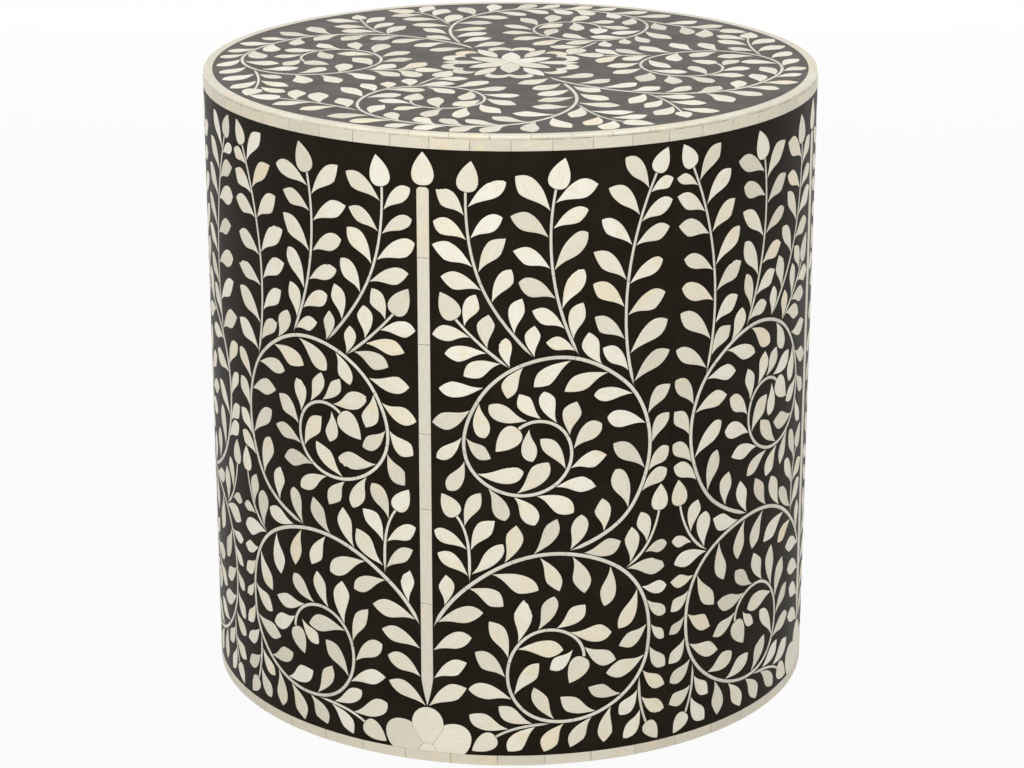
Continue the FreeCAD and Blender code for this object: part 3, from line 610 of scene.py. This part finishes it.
# %% Make the inlaid bone pieces
SIDES = ("front", "right", "back", "left")
FITTED = ("flower_", "rosette_frame")
FITTED_WEAR = 0.25
FULL_WEAR = 1.0
INLAY = {}
for side in SIDES:
    INLAY["strip_" + side] = (on_wall, strip_bone, "bone_strip")
    INLAY["flower_" + side] = (on_wall, leaf_bone, "bone_leaf")
    INLAY["stems_" + side] = (on_wall, stem_bone, "bone_stem")
    INLAY["leaves_" + side] = (on_wall, leaf_bone, "bone_leaf")
    INLAY["buds_" + side] = (on_wall, leaf_bone, "bone_leaf")
INLAY["finials"] = (on_wall, leaf_bone, "bone_leaf")
for node in ("rosette_petals", "rosette_leaves", "rosette_frame", "top_leaves", "top_buds"):
    INLAY[node] = (on_top, leaf_bone, "bone_leaf")
INLAY["top_stems"] = (on_top, stem_bone, "bone_stem")


def hand_over(piece, node, finish):
    """Give a piece its finish and let it stand for its node."""
    piece.data.materials.append(finish)
    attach(piece, "root")
    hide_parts(node)


for node, (at_surface, finish, slot) in INLAY.items():
    piece = copy_of(node, "bone_" + node)
    soften(piece, at_surface, FITTED_WEAR if node.startswith(FITTED) else FULL_WEAR)
    count = lay_grain(piece, at_surface)
    hand_over(piece, node, finish)
    print(node, "pieces", count, "faces", len(piece.data.polygons))

# %% [markdown]
# ## Rim, top ring and base band
#
# The bands are short straight bone segments set end to end. All their outer edges are worn, and a bevel
# does that well here, because the segments have no thin tips. The bevelled ends leave a fine groove at
# every joint, and the bone finish puts dirt there, more at some joints than at others.

# %% Make the bands
BAND_WEAR = 0.14 * MM
BAND_WEAR_STEPS = 2
BAND_EDGE_ANGLE = math.radians(50)

for node, at_surface in (("rim_band", on_wall), ("base_band", on_wall), ("top_ring", on_top)):
    piece = copy_of(node, "bone_" + node)
    bevel = piece.modifiers.new("worn_edges", "BEVEL")
    bevel.width = BAND_WEAR
    bevel.segments = BAND_WEAR_STEPS
    bevel.limit_method = "ANGLE"
    bevel.angle_limit = BAND_EDGE_ANGLE
    bevel.harden_normals = True
    bpy.ops.object.shade_smooth_by_angle(angle=BAND_EDGE_ANGLE)
    bpy.ops.object.modifier_apply(modifier=bevel.name)
    edge = piece.data.attributes.new("edge", "FLOAT", "POINT")
    edge.data.foreach_set("value", [1.0] * len(piece.data.vertices))
    count = lay_grain(piece, at_surface)
    hand_over(piece, node, band_bone)
    print(node, "segments", count, "faces", len(piece.data.polygons))

# %% [markdown]
# ## Resin
#
# The filling between the bone pieces is a black resin. It shrinks a little as it sets, so it lies just
# under the bone. Round the wall it is one ring, made as an open tube of many sides that gets its thickness
# from a solidify modifier. On the top the node's own disc with all its pockets is copied, and its show
# face is pressed back a touch. The finish is warm black and satin, with dust specks and faint clouds
# from the rubbing down. A table top is waxed more often than a wall, so its resin has more gloss.

# %% Resin finish
WALL_GLOSS = 0.035
TOP_GLOSS = 0.28
RESIN_SHEEN = (1.0, 0.75, 0.45, 1)
RESIN_BLACKS = [(0.35, srgb(28, 24, 19)), (0.7, srgb(36, 31, 25))]
RESIN_CLOUD_SCALE = 55.0
RESIN_CLOUD_RANGE = (0.3, 0.7)
RESIN_ROUGHNESS = (0.36, 0.46)
DUST_GREY = srgb(104, 98, 90)
DUST_SCALE = 420.0
DUST_RANGE = (0.05, 0.11)
DUSTY_SCALE = 130.0
DUSTY_RANGE = (0.55, 0.7)
DUSTY_SHARE = 0.6
RUBBING_SCALE = 900.0
RUBBING_DEPTH = 0.1 * MM


def resin(name, gloss):
    """Satin black resin with faint clouds, dust specks and rubbing marks."""
    made = Finish(name)
    place = made.object_place()
    cloud = made.noise(place, RESIN_CLOUD_SCALE, detail=4.0, rough=0.6)
    colour = made.ramp(cloud, RESIN_BLACKS)
    dust = made.between(made.cells(place, DUST_SCALE), *DUST_RANGE, low=1.0, high=0.0)
    dusty = made.between(made.noise(place, DUSTY_SCALE, detail=1.0), *DUSTY_RANGE, high=DUSTY_SHARE)
    colour = made.blend(made.times(dust, dusty), colour, DUST_GREY)
    rubbing = made.noise(place, RUBBING_SCALE, detail=3.0, rough=0.7)
    relief = made.bump(rubbing, strength=0.08, distance=RUBBING_DEPTH)
    made.shader.inputs["Specular IOR Level"].default_value = gloss
    made.shader.inputs["Specular Tint"].default_value = RESIN_SHEEN
    return made.finish(colour, made.between(cloud, *RESIN_CLOUD_RANGE, *RESIN_ROUGHNESS), relief)


black_resin = resin("black_resin", WALL_GLOSS)
waxed_resin = resin("waxed_resin", TOP_GLOSS)
print("resin finishes", black_resin.name, waxed_resin.name)

# %% Pour the resin round the wall
RESIN_DROP = 0.16 * MM
RING_SIDES = 360
WALL_RESIN = ["wall_resin_" + side for side in SIDES]

wall_foot, wall_head = (corner.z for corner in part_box("wall_resin_front"))
bed_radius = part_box("wall_resin_right")[1].x
bpy.ops.object.select_all(action="DESELECT")
bpy.ops.mesh.primitive_cylinder_add(
    vertices=RING_SIDES, radius=radius - RESIN_DROP, depth=wall_head - wall_foot, end_fill_type="NOTHING",
    location=(0, 0, (wall_foot + wall_head) / 2))
poured = bpy.context.object
poured.name = "resin_wall"
bpy.ops.object.transform_apply(location=True, rotation=True, scale=True)
thick = poured.modifiers.new("resin_depth", "SOLIDIFY")
thick.thickness = radius - RESIN_DROP - bed_radius
thick.offset = -1
bpy.ops.object.modifier_apply(modifier=thick.name)
bpy.ops.object.shade_smooth_by_angle(angle=SMOOTH_ANGLE)
poured.data.materials.append(black_resin)
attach(poured, "root")
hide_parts(*WALL_RESIN)
print("resin ring from", round(wall_foot, 4), "to", round(wall_head, 4), "faces", len(poured.data.polygons))

# %% Sink the resin of the top
top_field = copy_of("top_resin", "resin_top")
for vertex in top_field.data.vertices:
    vertex.select = on_top(vertex.co)
only(top_field)
bpy.ops.object.mode_set(mode="EDIT")
bpy.ops.mesh.select_mode(type="VERT")
press_back(on_top, RESIN_DROP)
bpy.ops.object.mode_set(mode="OBJECT")
bpy.ops.object.shade_smooth_by_angle(angle=SMOOTH_ANGLE)
hand_over(top_field, "top_resin", waxed_resin)
print("top resin faces", len(top_field.data.polygons))

# %% [markdown]
# ## Wooden drum
#
# The wood shows only on the underside. It keeps its shape from the frame and gets a plain sawn finish:
# growth rings as stretched noise, with fine pores along the board.

# %% Wood finish
WOODEN = ("base_panel", "drum_wall", "top_panel")
WOOD_BROWNS = [(0.3, srgb(142, 104, 66)), (0.5, srgb(176, 136, 92)), (0.72, srgb(196, 158, 112))]
RING_STRETCH = (1.2, 22.0, 22.0)
RING_RANGE = (0.3, 0.7)
WOOD_ROUGHNESS = (0.6, 0.75)
FIBRE_BROWN = srgb(104, 74, 46)
FIBRE_STRETCH = (12.0, 700.0, 700.0)
FIBRE_RANGE = (0.55, 0.75)
FIBRE_SHARE = 0.5
FIBRE_DEPTH = 0.2 * MM


def wood(name):
    """Plain sawn softwood with the grain along X."""
    made = Finish(name)
    place = made.object_place()
    rings = made.noise(made.stretched(place, RING_STRETCH), 1.0, detail=4.0, rough=0.6)
    colour = made.ramp(rings, WOOD_BROWNS)
    fibre = made.noise(made.stretched(place, FIBRE_STRETCH), 1.0)
    colour = made.blend(made.between(fibre, *FIBRE_RANGE, high=FIBRE_SHARE), colour, FIBRE_BROWN)
    relief = made.bump(fibre, strength=0.3, distance=FIBRE_DEPTH)
    return made.finish(colour, made.between(rings, *RING_RANGE, *WOOD_ROUGHNESS), relief)


sawn_wood = wood("sawn_wood")
for node in WOODEN:
    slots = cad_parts[node].data.materials
    slots.clear()
    slots.append(sawn_wood)
print("wood on", len(WOODEN), "nodes")
